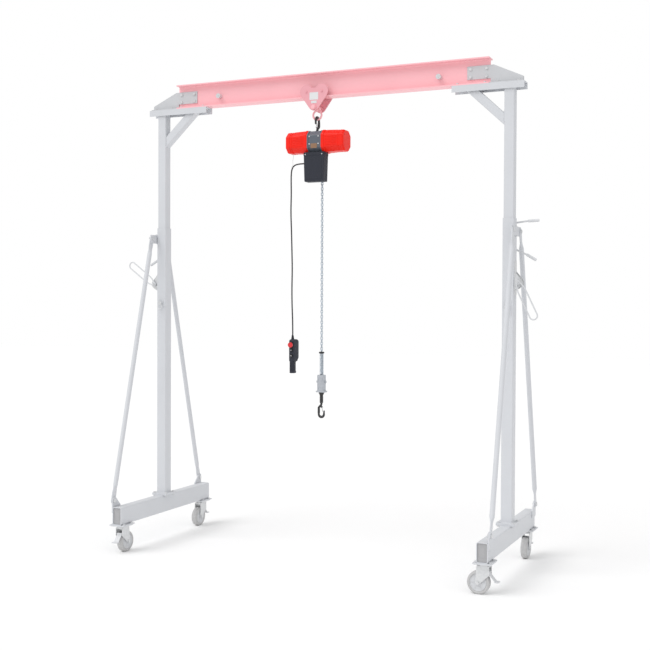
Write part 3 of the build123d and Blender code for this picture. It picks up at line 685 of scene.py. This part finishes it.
def coverRing(at, height, depth, look):
    # the covers' outline at one place along x: an octagon with rounded corners
    h, d, cut = height / 2, depth / 2, look["cut"]
    corners = [(-d, cut - h), (-d, h - cut), (cut - d, h), (d - cut, h)]
    corners += [(d, h - cut), (d, cut - h), (d - cut, -h), (cut - d, -h)]
    ring = []
    for i, corner in enumerate(corners):
        here = Vector(corner)
        before = (Vector(corners[i - 1]) - here).normalized() * look["corner"]
        after = (Vector(corners[(i + 1) % 8]) - here).normalized() * look["corner"]
        for t in (0.0, 0.33, 0.67, 1.0):
            ring.append(here + before * (1 - t) ** 2 + after * t ** 2)
    return [(at.x, at.y + y, at.z + z) for y, z in ring]


def makeCoverTrim(look):
    for side, way in (("left", -1), ("right", 1)):
        low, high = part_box(f"hoist_{side}_cover")
        middle = (low + high) / 2
        near = high.x if way < 0 else low.x
        length = high.x - low.x
        height, depth = high.z - low.z, high.y - low.y

        def outline(share, proud):
            shrink = 2 * look["draft"] * share - 2 * proud
            at = Vector((near + way * length * share, middle.y, middle.z))
            return coverRing(at, height - shrink, depth - shrink, look)

        def buildBands(form):
            soft = look["bandSoft"]
            for start, end, proud in look["bands"]:
                steps = [(start, -0.002), (start, proud * 0.6), (start + soft, proud)]
                steps += [(end - soft, proud), (end, proud * 0.6), (end, -0.002)]
                ringsTube(form, [outline(share, out) for share, out in steps])

        addPiece(f"{side}_cover_bands", meshFrom("cover_bands", buildBands, False), "hoist_red", "hoist")
        first, last = look["fins"]
        share = (first + last) / 2
        reach = length * (last - first) / 2
        lean = look["draft"] / length

        def build(form):
            # long ribs on the upright faces and on top
            x = near + way * length * share
            half = (reach, look["fin"], look["fin"])
            for face in (-1, 1):
                y = middle.y + face * (depth / 2 - look["draft"] * share)
                turn = Matrix.Rotation(-face * way * lean, 3, "Z")
                for z in look["sideFins"]:
                    slab(form, (x, y, middle.z + z), half, turn)
            turn = Matrix.Rotation(way * lean, 3, "Y")
            for y in look["topFins"]:
                slab(form, (x, middle.y + y, middle.z + height / 2 - look["draft"] * share), half, turn)

        mesh = meshFrom("cover_ribs", build, False)
        roundEdges(addPiece(f"{side}_cover_ribs", mesh, "hoist_red", "hoist"), 0.0012)

        def buildEnd(form):
            # a raised ring on the end face
            end = near + way * length
            rim = [(0.042, -0.002), (0.042, -0.0001), (0.045, 0.0001), (0.050, 0.0001), (0.052, -0.002)]
            lathe(form, rim, (end - way * 0.0003, middle.y, middle.z), (way, 0, 0), 48)

        addPiece(f"{side}_cover_ring", meshFrom("cover_ring", buildEnd), "hoist_red", "hoist")

        def buildScrews(form):
            end = near + way * (length - 0.0008)
            head = [(look["screw"], -0.003), (look["screw"], 0.0)]
            head += [(0.0030, 0.0008), (0.0016, 0.0008), (0.0016, -0.001)]
            for y, z in look["screws"]:
                lathe(form, head, (end, middle.y + y, middle.z + z), (way, 0, 0), 16)

        addPiece(f"{side}_cover_screws", meshFrom("cover_screws", buildScrews), "black_steel", "hoist")


def makeLabel(name, centre, half, facing, finishName, body, corner=0.003):
    # a thin blank plate with rounded corners, facing +y or -y, with a raised border
    def build(form):
        outline = []
        for cx, cz, start in ((1, 1, 0), (-1, 1, pi / 2), (-1, -1, pi), (1, -1, 3 * pi / 2)):
            for i in range(5):
                t = start + pi / 8 * i
                x = cx * (half[0] - corner) + corner * cos(t)
                outline.append((x, cz * (half[1] - corner) + corner * sin(t)))
        rings = []
        edge = ((0.0, -0.0006), (0.0, 0.0008), (0.0007, 0.0011), (0.0022, 0.0011), (0.0026, 0.0008))
        for inset, out in edge:
            wide, tall = 1 - inset / half[0], 1 - inset / half[1]
            y = centre[1] + facing * out
            rings.append([(centre[0] + x * wide, y, centre[2] + z * tall) for x, z in outline])
        ringsTube(form, rings)

    addPiece(name, meshFrom(name, build, False), finishName, body)


gearboxTrim = {
    "label": (0.025, 0.017), "labelDrop": 0.034,
    "screw": 0.0055, "across": (-0.036, 0.036),
    "screws": ((-1, 0.034), (-1, -0.020), (1, 0.034), (1, -0.034)),     # face, height
}


def makeGearboxTrim(look):
    low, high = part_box("hoist_gearbox")
    middle = (low + high) / 2
    coverLow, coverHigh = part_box("hoist_right_cover")
    height = (coverLow.z + coverHigh.z) / 2
    at = (middle.x, low.y + 0.003, height - look["labelDrop"])
    makeLabel("blank_label", at, look["label"], -1, "label_tan", "hoist")

    def build(form):
        head = [(look["screw"], -0.001), (look["screw"], 0.003)]
        head += [(0.0045, 0.0042), (0.0028, 0.0042), (0.0028, 0.001)]
        for x in look["across"]:
            for y, z in look["screws"]:
                at = (middle.x + x, middle.y + y * (high.y - middle.y - 0.0035), height + z)
                lathe(form, head, at, (0, y, 0), 18)

    addPiece("gearbox_screws", meshFrom("gearbox_screws", build), "zinc_steel", "hoist")


chainBoxTrim = {
    "band": (0.0805, 0.0016, 0.007), "bandDrop": 0.016,
    "panel": 0.062, "lean": 1.6, "taper": 0.0279,      # half width, degrees, and the same lean as a slope
    "screw": 0.0045, "screws": (-0.066, 0.066),
}


def makeChainBoxTrim(look):
    low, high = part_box("chain_box")
    top = high.z
    middle = (low + high) / 2
    bandZ = top - look["bandDrop"]

    def build(form):
        # a band round the container's mouth
        wide, thick, tall = look["band"]
        for y in (low.y + 0.0005, high.y - 0.0005):
            slab(form, (middle.x, y, bandZ), (wide, thick, tall))
        for x in (low.x + 0.0004, high.x - 0.0004):
            slab(form, (x, middle.y, bandZ), (thick, (high.y - low.y) / 2 - 0.006, tall))

    mesh = meshFrom("chain_box_band", build, False)
    roundEdges(addPiece("chain_box_band", mesh, "charcoal_plastic", "hoist"), 0.0008)

    def buildPanel(form):
        # a shallow raised panel on the front, leaning with the container's side
        lean = Matrix.Rotation(radians(look["lean"]), 3, "X")
        down = (top - low.z) / 2
        at = (middle.x, low.y + down * look["taper"] + 0.0004, top - down - 0.014)
        slab(form, at, (look["panel"], 0.0012, down - 0.032), lean)

    mesh = meshFrom("chain_box_panel", buildPanel, False)
    roundEdges(addPiece("chain_box_panel", mesh, "charcoal_plastic", "hoist"), 0.0011, 3)

    def buildScrews(form):
        head = [(look["screw"], 0.0), (look["screw"], 0.0016)]
        head += [(0.003, 0.0022), (0.0018, 0.0022), (0.0018, 0.0008)]
        for x in look["screws"]:
            lathe(form, head, (middle.x + x, low.y - 0.0008, bandZ), (0, -1, 0), 16)

    addPiece("chain_box_screws", meshFrom("chain_box_screws", buildScrews), "zinc_steel", "hoist")


makeCoverTrim(covers)
makeGearboxTrim(gearboxTrim)
makeChainBoxTrim(chainBoxTrim)
print("hoist trimmed")


pendantShell = {
    "corner": 0.008,
    # height above the pendant's foot, front, back, half width
    "head": [
        (0.0870, -0.0330, 0.0180, 0.0200), (0.0895, -0.0348, 0.0240, 0.0222),
        (0.0940, -0.0350, 0.0275, 0.0225), (0.1130, -0.0350, 0.0435, 0.0225),
        (0.1180, -0.0350, 0.0450, 0.0225), (0.2300, -0.0350, 0.0450, 0.0225),
        (0.2370, -0.0346, 0.0425, 0.0223), (0.2430, -0.0330, 0.0370, 0.0212),
        (0.2475, -0.0295, 0.0290, 0.0188), (0.2500, -0.0240, 0.0200, 0.0150),
    ],
    "grip": [
        (0.0000, -0.0300, 0.0040, 0.0150), (0.0015, -0.0325, 0.0090, 0.0182),
        (0.0050, -0.0330, 0.0120, 0.0190), (0.0120, -0.0330, 0.0110, 0.0190),
        (0.0200, -0.0330, 0.0055, 0.0190), (0.0780, -0.0330, 0.0050, 0.0190),
        (0.0850, -0.0330, 0.0090, 0.0192), (0.0900, -0.0330, 0.0120, 0.0194),
    ],
    "boot": [(0.0110, -0.002), (0.0110, 0.0), (0.0068, 0.029), (0.0060, 0.031)],     # radius, height
    "bootY": -0.015,
}


def roundedRing(x, y0, y1, half, z, corner):
    # a level ring with rounded corners, from y0 to y1
    deep = (y1 - y0) / 2
    ring = []
    for cx, cy, start in ((1, 1, 0), (-1, 1, pi / 2), (-1, -1, pi), (1, -1, 3 * pi / 2)):
        for i in range(6):
            t = start + pi / 10 * i
            across = cx * (half - corner) + corner * cos(t)
            ring.append((x + across, (y0 + y1) / 2 + cy * (deep - corner) + corner * sin(t), z))
    return ring


def makePendantShell(look):
    # two moulded forms, a rounded head and a grip with a heel, and the rubber boot on top
    low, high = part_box("pendant")
    x = (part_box("up_button")[0].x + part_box("up_button")[1].x) / 2

    def build(form):
        for rows in (look["head"], look["grip"]):
            rings = [roundedRing(x, y0, y1, half, low.z + up, look["corner"]) for up, y0, y1, half in rows]
            ringsTube(form, rings)
        lathe(form, look["boot"], (x, look["bootY"], low.z + look["head"][-1][0]), (0, 0, 1), 30)

    shell = addPiece("pendant_shell", meshFrom("pendant_shell", build), "charcoal_plastic", "hoist")
    shell.modifiers.new("normals", "WEIGHTED_NORMAL")
    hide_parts("pendant")


makePendantShell(pendantShell)

pendantTrim = {
    "front": -0.035,
    "ribs": 9, "ribStep": 0.0078, "firstRib": 0.012,
    "seam": (0.0225, -0.002, 0.170), "seamHalf": (0.0008, 0.0012, 0.070),
    "collars": {"stop": 0.0112, "up": 0.0100, "down": 0.0100},
    "arrow": 0.0042,
    "bootRings": 6, "bootStep": 0.0046, "bootStart": 0.254,
}


def makePendantTrim(look):
    low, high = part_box("pendant")
    spots = {}
    for name in look["collars"]:
        bottom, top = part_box(name + "_button")
        spots[name] = (bottom + top) / 2
        spots[name].y = bottom.y
    x, front = spots["up"].x, look["front"]

    def buildRibs(form):
        # finger ribs across the grip and a seam along each side of the head
        for i in range(look["ribs"]):
            z = low.z + look["firstRib"] + i * look["ribStep"]
            slab(form, (x, front + 0.0018, z), (0.0115, 0.0014, 0.0018))
            for way in (-1, 1):
                slab(form, (x + way * 0.0190, front + 0.022, z), (0.0007, 0.0105, 0.0018))
        across, y, up = look["seam"]
        for way in (-1, 1):
            slab(form, (x + way * across, y, low.z + up), look["seamHalf"])

    ribs = addPiece("grip_ribs", meshFrom("grip_ribs", buildRibs, False), "charcoal_plastic", "hoist")
    roundEdges(ribs, 0.0006)

    def buildCollars(form):
        # raised collars round the buttons, in the face of the head
        for name, size in look["collars"].items():
            profile = [(size, 0.002), (size, -0.0022), (size + 0.0008, -0.0028)]
            profile += [(size + 0.0022, -0.0022), (size + 0.0026, 0.002)]
            lathe(form, profile, (x, front, spots[name].z), (0, 1, 0), 30)

    addPiece("button_collars", meshFrom("button_collars", buildCollars), "black_rubber", "hoist")
    for name, way in (("up", 1), ("down", -1)):
        def buildArrow(form):
            size, spot = look["arrow"], spots[name]
            corners = [(0, size * way), (size, -0.6 * size * way), (-size, -0.6 * size * way)]
            rings = [[(x + a, spot.y + out, spot.z + b) for a, b in corners] for out in (0.0004, -0.0003)]
            ringsTube(form, rings)

        mesh = meshFrom(name + "_button_arrow", buildArrow, False)
        addPiece(name + "_button_arrow", mesh, "white_mark", name + "_button")

    def buildBoot(form):
        # bend relief rings that follow the boot's taper
        radius, drop = pendantShell["boot"][1][0], 0.0045 / 0.031
        for i in range(look["bootRings"]):
            up = look["bootStart"] + look["bootStep"] * i
            size = radius - drop * (up - 0.250)
            profile = [(size - 0.0006, -0.0012), (size + 0.0011, -0.0007)]
            profile += [(size + 0.0011, 0.0007), (size - 0.0006, 0.0012)]
            lathe(form, profile, (x, pendantShell["bootY"], low.z + up), (0, 0, 1), 24)

    addPiece("cable_boot_rings", meshFrom("cable_boot_rings", buildBoot), "black_rubber", "hoist")


makePendantTrim(pendantTrim)
print("pendant trimmed")


wheelLook = {
    "radius": 0.075,
    "half": 0.023,          # half the tyre's width
    "core": 0.0545,         # radius of the moulded core
    "bore": 0.0064,
    "ribs": 6,
    "deep": 0.0186,         # how far out from the middle the core's web stands
}


def makeWheel(corner, look):
    low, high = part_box(corner + "_wheel")
    middle = (low + high) / 2
    body = corner + "_roller"
    axle = Vector((0, 1, 0)) if high.x - low.x > high.y - low.y else Vector((1, 0, 0))
    across = Vector((0, 0, 1))
    along = axle.cross(across)
    size, half, core = look["radius"], look["half"], look["core"]

    def buildTyre(form):
        one = [(core + 0.001, -0.015), (core + 0.001, -half + 0.0015), (core + 0.0025, -half)]
        one += [(size - 0.009, -half), (size - 0.0035, -half + 0.0025), (size - 0.0008, -half + 0.0065)]
        one += [(size, -half + 0.014), (size, -0.0012), (size - 0.0006, 0.0)]
        profile = one + [(r, -z) for r, z in reversed(one[:-1])]
        lathe(form, profile, middle, axle, 80)

    tyre = addPiece(corner + "_tyre", meshFrom("tyre", buildTyre), "tyre_rubber", body)
    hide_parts(corner + "_wheel")

    def buildCore(form):
        # a web with a rim and a hub in each face, and ribs between them
        for way in (-1, 1):
            base = middle + axle * way * look["deep"]
            profile = [(look["bore"], -0.001), (look["bore"], 0.0054), (0.0175, 0.0054), (0.0195, 0.0040)]
            profile += [(0.0205, 0.0012), (core - 0.006, 0.0012), (core - 0.0045, 0.0036)]
            profile += [(core, 0.0036), (core, -0.001)]
            lathe(form, profile, base, axle * way, 48)
            for k in range(look["ribs"]):
                t = 2 * pi * k / look["ribs"]
                radial = along * cos(t) + across * sin(t)
                side = across * cos(t) - along * sin(t)
                turn = Matrix((radial, axle, side)).transposed()
                slab(form, base + axle * way * 0.0014 + radial * 0.035, (0.0150, 0.0016, 0.0022), turn)

    mesh = meshFrom("wheel_core", buildCore, False)
    roundEdges(addPiece(corner + "_wheel_core", mesh, "wheel_core", body), 0.0005, 1)


for corner in ("left_front", "left_back", "right_front", "right_back"):
    makeWheel(corner, wheelLook)
print("wheels made")


plug = {
    "recess": 0.012,
    "thick": 0.004,
    "half": (0.033, 0.060),
    "height": 0.275,        # middle of the tube
    "grip": (0.55, 0.0015), # raised middle, its share of the plug and how far it stands out
}


def makePlugs(look):
    for side in ("left", "right"):
        low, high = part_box(side + "_base")
        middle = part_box(side + "_lower_post")
        x = (middle[0].x + middle[1].x) / 2

        def build(form):
            for y, way in ((low.y, 1), (high.y, -1)):
                share, rise = look["grip"]
                for out, size in ((0.0, 1.0), (rise, share)):
                    at = (x, y + way * (look["recess"] + look["thick"] / 2 - out), look["height"])
                    slab(form, at, (look["half"][0] * size, look["thick"] / 2, look["half"][1] * size))

        mesh = meshFrom("base_plugs", build, False)
        plugs = addPiece(side + "_base_plugs", mesh, "plug_plastic", side + "_leg")
        roundEdges(plugs, 0.002)


makePlugs(plug)
print("base tubes plugged")


weld = {
    "radius": 0.0032, "step": 0.005,
    "post": 1.385,                              # beam's middle to a post's middle
    "foot": (0.0405, 0.0105),                   # half the square, height above the foot
    "brackets": (0.0405, 0.038, (2.300, 2.365)),    # out, half length, heights
    "lugs": (0.038, (0.505, 0.600), 0.296),     # out, from and to along the base, height
    "head": (0.0355, 0.0065),                   # half the square, below the top of the head
    "brace": (0.0305, (3.068, 3.142)),          # half apart, from and to in height
}


def weldBead(form, points, look):
    # a rippled bead along straight runs from point to point
    line = []
    for start, end in zip(points, points[1:]):
        start, end = Vector(start), Vector(end)
        count = max(2, int((end - start).length / look["step"]))
        line += [start.lerp(end, i / count) for i in range(count)]
    line.append(Vector(points[-1]))
    radii = [look["radius"] * (1.0 + 0.16 * (i % 2)) for i in range(len(line))]
    pipe(form, line, radii, 7)


def squareRun(x, y, half, z):
    # round a square tube, across its corners
    corner = half * 0.93
    turns = [(-corner, -half), (corner, -half), (half, -corner), (half, corner)]
    turns += [(corner, half), (-corner, half), (-half, corner), (-half, -corner), (-corner, -half)]
    return [(x + across, y + deep, z) for across, deep in turns]


def makeWelds(look):
    middle = (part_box("left_upper_frame")[0].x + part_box("right_upper_frame")[1].x) / 2
    for side, way in (("left", -1), ("right", 1)):
        x = middle + way * look["post"]
        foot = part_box(side + "_lower_post")[0].z
        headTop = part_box(side + "_upper_frame")[1].z

        def buildLeg(form):
            half, up = look["foot"]
            weldBead(form, squareRun(x, 0, half, foot + up), look)
            out, half, heights = look["brackets"]
            face = x + way * out
            for z in heights:
                for y in (-half, half):
                    weldBead(form, [(face, y - 0.002, z), (face, y * 0.2, z)], look)
            out, (start, end), z = look["lugs"]
            face = x + way * out
            for y in (-1, 1):
                weldBead(form, [(face, y * start, z), (face, y * end, z)], look)

        addPiece(side + "_leg_welds", meshFrom("leg_welds", buildLeg), "grey_paint", side + "_leg")

        def buildHead(form):
            half, down = look["head"]
            weldBead(form, squareRun(x, 0, half, headTop - down), look)
            apart, (bottom, top) = look["brace"]
            for y in (-apart, apart):
                weldBead(form, [(x - way * half, y, bottom), (x - way * half, y, top)], look)

        addPiece(side + "_head_welds", meshFrom("head_welds", buildHead), "grey_paint", "bridge")


makeWelds(weld)
print("welds made")


trolleyLabels = {
    "face": -0.060,
    "trolley_blank_plate": (3.342, (0.035, 0.027)),     # height, half size
    "trolley_small_plate": (3.299, (0.022, 0.009)),
}


def makeTrolleyLabels(look):
    low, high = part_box("trolley_plates")
    for name in ("trolley_blank_plate", "trolley_small_plate"):
        height, half = look[name]
        makeLabel(name, ((low.x + high.x) / 2, look["face"], height), half, -1, "white_mark", "trolley")


makeTrolleyLabels(trolleyLabels)
print("trolley labels made")


# soft edges on CAD pieces
edgeRounds = {
    "gussets": 0.0008, "left_winch_frame": 0.0006, "right_winch_frame": 0.0006, "trolley_plates": 0.001,
    "bottom_block": 0.0008, "chain_box": 0.001,
}
for name, width in edgeRounds.items():
    roundEdges(nodes[name], width)


stageLook = {
    "floor": (0.95, 0.95, 0.95),
    "reach": 30.0,
    "soft": 0.70,           # light from all round
    "back": 1.0,            # how bright the empty studio looks
    # where each sun stands, its strength, and its width in degrees
    "suns": {
        "key": ((-0.5332, -0.6824, 1.1000), 1.25, 40),
        "fill": ((0.7698, -0.5390, 0.9420), 0.35, 60),
    },
}


def makeFloor(look):
    form = bmesh.new()
    reach = look["reach"]
    corners = [(-reach, -reach), (reach, -reach), (reach, reach), (-reach, reach)]
    form.faces.new([form.verts.new((x, y, 0)) for x, y in corners])
    mesh = bpy.data.meshes.new("floor")
    form.to_mesh(mesh)
    form.free()
    material = bpy.data.materials.new("floor_paint")
    material.use_nodes = True
    tree = material.node_tree
    shader = tree.nodes["Principled BSDF"]
    shader.inputs["Roughness"].default_value = 0.9
    shader.inputs["Specular IOR Level"].default_value = 0.1
    grain = useGroup(tree, grainGroup, **{"Scale": 60.0, "Coarse Scale": 0.6})
    darker, lighter = shade(look["floor"], 0.985), shade(look["floor"], 1.01)
    colour = mixColour(tree, grain.outputs["Coarse"], darker, lighter)
    tree.links.new(colour, shader.inputs["Base Color"])
    mesh.materials.append(material)
    floor = bpy.data.objects.new("floor", mesh)
    bpy.context.scene.collection.objects.link(floor)
    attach(floor, "left_leg")      # the bridge is the fixed body, so the floor follows the legs


def makeSun(name, source, strength, width):
    data = bpy.data.lights.new(name, "SUN")
    data.energy = strength
    data.angle = radians(width)
    light = bpy.data.objects.new(name, data)
    light.rotation_euler = (-Vector(source)).to_track_quat("-Z", "Y").to_euler()
    bpy.context.scene.collection.objects.link(light)


def makeStage(look):
    makeFloor(look)
    world = bpy.data.worlds.new("studio")
    bpy.context.scene.world = world
    world.use_nodes = True
    tree = world.node_tree
    soft = tree.nodes["Background"]
    soft.inputs["Color"].default_value = (1, 1, 1, 1)
    soft.inputs["Strength"].default_value = look["soft"]
    back = addNode(tree, "Background", {"Color": (1, 1, 1, 1), "Strength": look["back"]})
    seen = addNode(tree, "LightPath").outputs["Is Camera Ray"]
    both = addNode(tree, "MixShader", {0: seen, 1: soft.outputs[0], 2: back.outputs[0]})
    tree.links.new(both.outputs[0], tree.nodes["World Output"].inputs["Surface"])
    for name, (source, strength, width) in look["suns"].items():
        makeSun(name + "_light", source, strength, width)
    bpy.context.scene.view_settings.view_transform = "Standard"


makeStage(stageLook)
print("stage lit")
